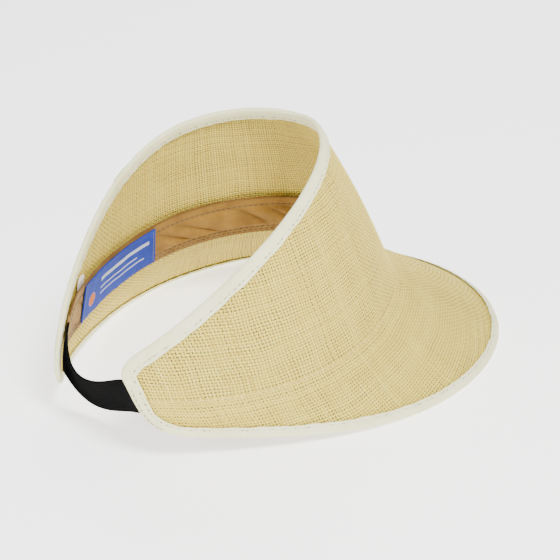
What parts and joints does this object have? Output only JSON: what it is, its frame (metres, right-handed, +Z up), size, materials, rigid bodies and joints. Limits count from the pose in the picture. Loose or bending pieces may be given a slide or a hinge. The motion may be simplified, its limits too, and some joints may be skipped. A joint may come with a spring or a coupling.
{
  "type": "sun visor",
  "caption": "Straw sun visor with a wide curved brim, bound edges, a cloth sweatband with a blank woven label, and an elastic strap closing the open back.",
  "frame": {"origin": "middle of the visor's box on the surface it stands on, with the two sides of the brim resting at z = 0", "axes": "+Z up, -Y towards the front of the brim and +Y towards the strap at the back, +X towards the wearer's left"},
  "size_m": [0.2272, 0.2852, 0.137],
  "materials": {
    "straw": "woven toquilla palm straw, natural, matt with a slight sheen",
    "binding_tape": "ivory cotton bias tape, matt",
    "cream_thread": "cream sewing thread, matt",
    "band_cotton": "tan cotton twill, creased, matt",
    "brown_thread": "brown sewing thread, matt",
    "label_weave": "woven damask label, blue, slight sheen",
    "label_thread": "blue sewing thread, matt",
    "tag_satin": "pale satin ribbon",
    "elastic": "ribbed black elastic webbing, matt",
    "black_thread": "black sewing thread"
  },
  "bodies": {
    "visor": {"straw_body": "straw", "edge_binding": "binding_tape", "binding_thread_outer": "cream_thread", "binding_thread_inner": "cream_thread", "sweatband": "band_cotton", "hem_thread": "brown_thread", "seam_thread_lower": "brown_thread", "seam_thread_upper": "brown_thread", "woven_label": "label_weave", "label_thread_front": "label_thread", "label_thread_back": "label_thread", "size_tag": "tag_satin", "strap_tack_left": "cream_thread", "strap_tack_right": "cream_thread", "strap_thread_tail": "black_thread"},
    "strap": {"elastic_strap": "elastic"}
  },
  "joints": [
    {"name": "strap_stretch", "type": "slide", "parent": "visor", "child": "strap", "axis": [0, 1, 0], "range_m": [0, 0.025], "stiffness_N_per_m": 40, "deforming": ["elastic_strap"]}
  ]
}
